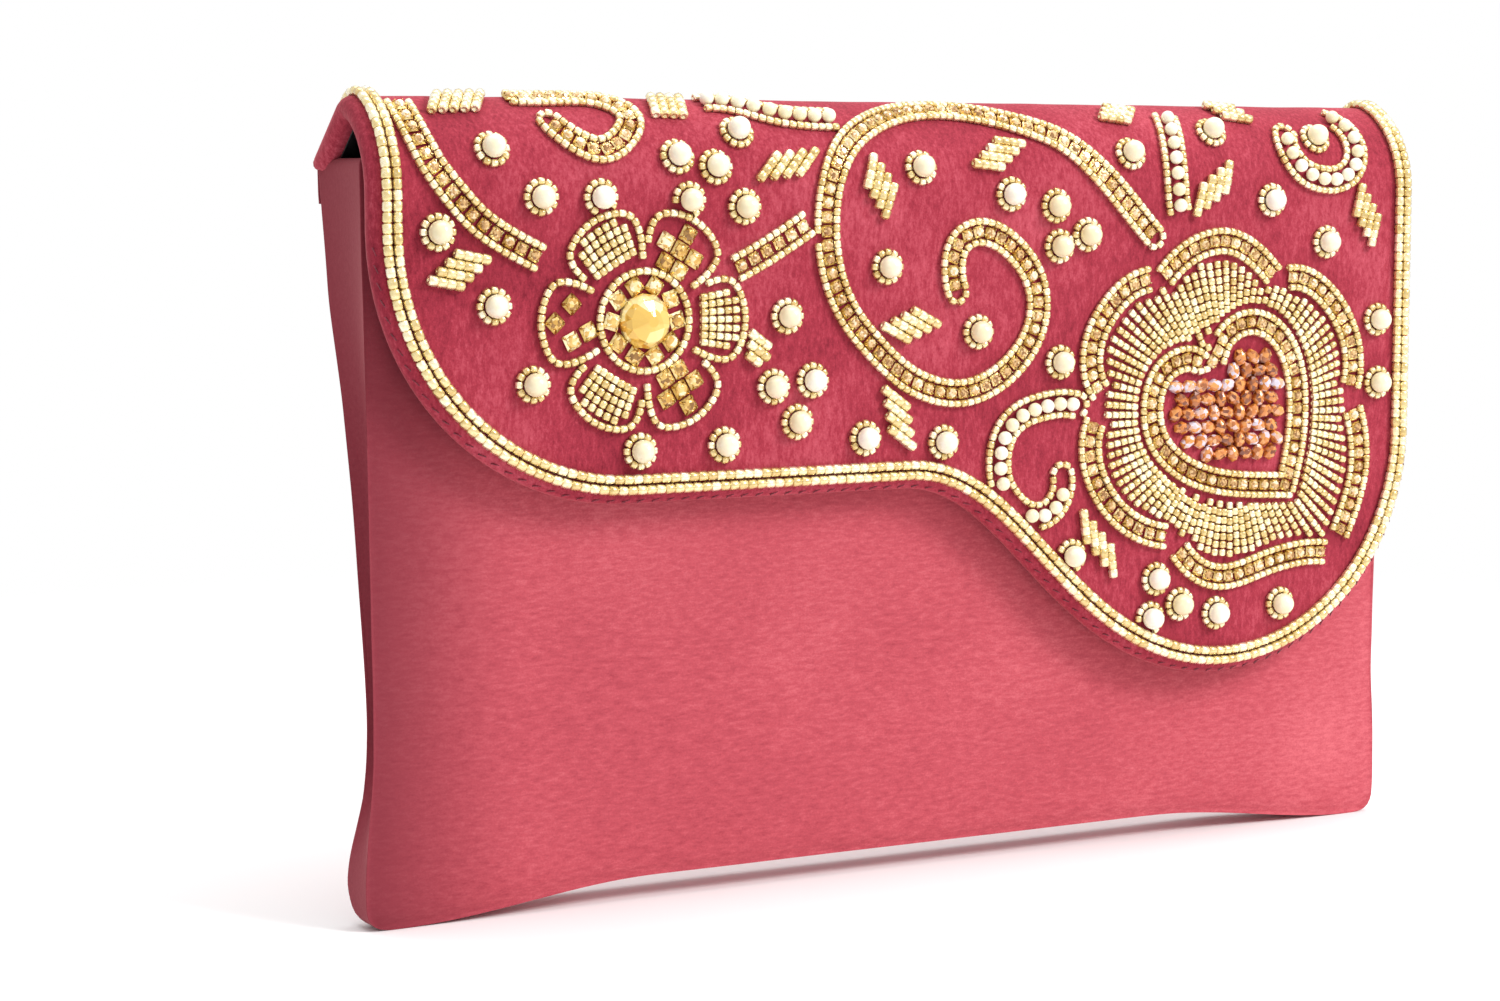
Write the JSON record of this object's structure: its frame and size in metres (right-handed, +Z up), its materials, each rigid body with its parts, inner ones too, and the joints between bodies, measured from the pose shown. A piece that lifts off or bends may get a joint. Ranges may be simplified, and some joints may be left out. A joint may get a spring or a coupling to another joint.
{
  "type": "clutch purse",
  "caption": "Velvet envelope clutch with a padded, beaded flap that folds over the front, has a deep lobe at one side and closes with a hidden magnetic snap.",
  "frame": {"origin": "on the plane that the purse stands on, under the middle of its whole width and depth, beads included", "axes": "+X to the right along the width, +Y from the front to the back, +Z up"},
  "size_m": [0.256, 0.0357, 0.1657],
  "materials": {
    "amber_crystal": "faceted with an iridescent coat",
    "board": "plain",
    "champagne_stone": "faceted in a gilt cup",
    "foam": "open cell",
    "gold_bead": "gold-lined",
    "magnet": "plain",
    "pearl": "pearlescent",
    "satin": "satin",
    "snap_metal": "polished",
    "topaz_stone": "faceted",
    "velvet": "matt pile",
    "washer_steel": "plain"
  },
  "bodies": {
    "pouch": {"back_board": "board", "back_cover": "velvet", "back_lining": "satin", "back_padding": "foam", "base_board": "board", "base_cover": "velvet", "base_lining": "satin", "front_board": "board", "front_cover": "velvet", "front_lining": "satin", "front_padding": "foam", "left_gusset": "velvet", "left_gusset_lining": "satin", "right_gusset": "velvet", "right_gusset_lining": "satin", "snap_magnet": "magnet", "snap_socket": "snap_metal", "snap_socket_washer": "washer_steel"},
    "flap": {"flap_board": "board", "flap_cover": "velvet", "flap_lining": "satin", "flap_padding": "foam", "snap_stud": "snap_metal", "snap_stud_washer": "washer_steel", "band_beads": "gold_bead", "band_pearls": "pearl", "border_inner_beads": "gold_bead", "border_outer_beads": "gold_bead", "column_beads": "gold_bead", "column_pearls": "pearl", "flower_centre_stone": "topaz_stone", "flower_outline_beads": "gold_bead", "flower_petal_beads": "gold_bead", "flower_petal_stones": "champagne_stone", "flower_ring_stones": "champagne_stone", "heart_crystals": "amber_crystal", "heart_outline_beads": "gold_bead", "heart_stones": "champagne_stone", "leaf_beads": "gold_bead", "lotus_outline_beads": "gold_bead", "lotus_ray_beads": "gold_bead", "lotus_stones": "champagne_stone", "rosette_beads": "gold_bead", "rosette_pearls": "pearl", "scroll_beads": "gold_bead", "scroll_pearls": "pearl", "spiral_beads": "gold_bead", "spiral_stones": "champagne_stone", "vine_beads": "gold_bead", "vine_stones": "champagne_stone"}
  },
  "joints": [
    {"name": "flap_hinge", "type": "hinge", "parent": "pouch", "child": "flap", "pos_m": [0, 0.01783, 0.152], "axis": [-1, 0, 0], "range_deg": [0, 170]}
  ]
}
